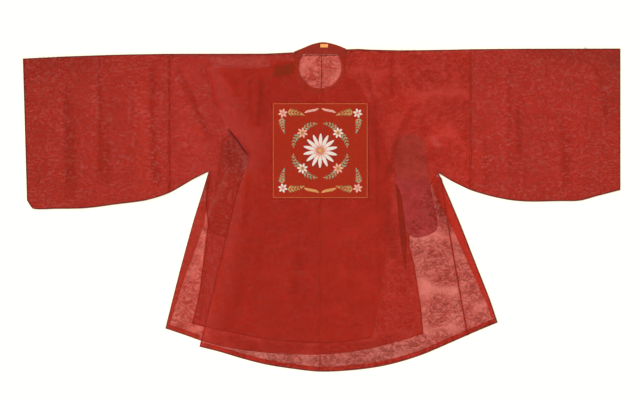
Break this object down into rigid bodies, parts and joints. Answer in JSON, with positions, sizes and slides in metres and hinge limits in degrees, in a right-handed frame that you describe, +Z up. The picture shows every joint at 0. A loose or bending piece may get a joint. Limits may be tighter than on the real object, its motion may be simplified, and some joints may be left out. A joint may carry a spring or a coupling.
{
  "type": "round-collared hanfu robe, laid flat",
  "caption": "Wide-sleeved round-collared robe of sheer red silk gauze, laid flat with its front up, with a square embroidered badge on the chest.",
  "frame": {"origin": "centre of the bounding box, on the surface the robe lies on", "axes": "+X towards the wearer's left sleeve, +Y towards the collar, +Z up from the surface to the front of the robe"},
  "size_m": [2.4904, 1.3735, 0.0111],
  "materials": {
    "red_gauze": "sheer patterned silk gauze, soft sheen",
    "red_gauze_doubled": "doubled silk gauze, soft sheen",
    "grey_mauve_silk": "plain matt silk",
    "tab_silk": "dark matt silk",
    "label_paper": "matt, blank",
    "badge_silk": "silk embroidered in satin stitch"
  },
  "bodies": {
    "root": {"back_left": "red_gauze", "back_right": "red_gauze", "front_inner": "red_gauze", "overlap_inner": "red_gauze", "front_outer": "red_gauze", "overlap_outer": "red_gauze", "front_flap": "red_gauze", "sleeve_left": "red_gauze", "sleeve_right": "red_gauze", "collar": "red_gauze_doubled", "collar_tab": "tab_silk", "neck_label": "label_paper", "facing_back_side": "red_gauze_doubled", "facing_back_hem": "red_gauze_doubled", "facing_front_side": "red_gauze_doubled", "facing_front_hem": "red_gauze_doubled", "underarm_left": "grey_mauve_silk", "underarm_right": "grey_mauve_silk", "badge": "badge_silk"}
  },
  "joints": []
}
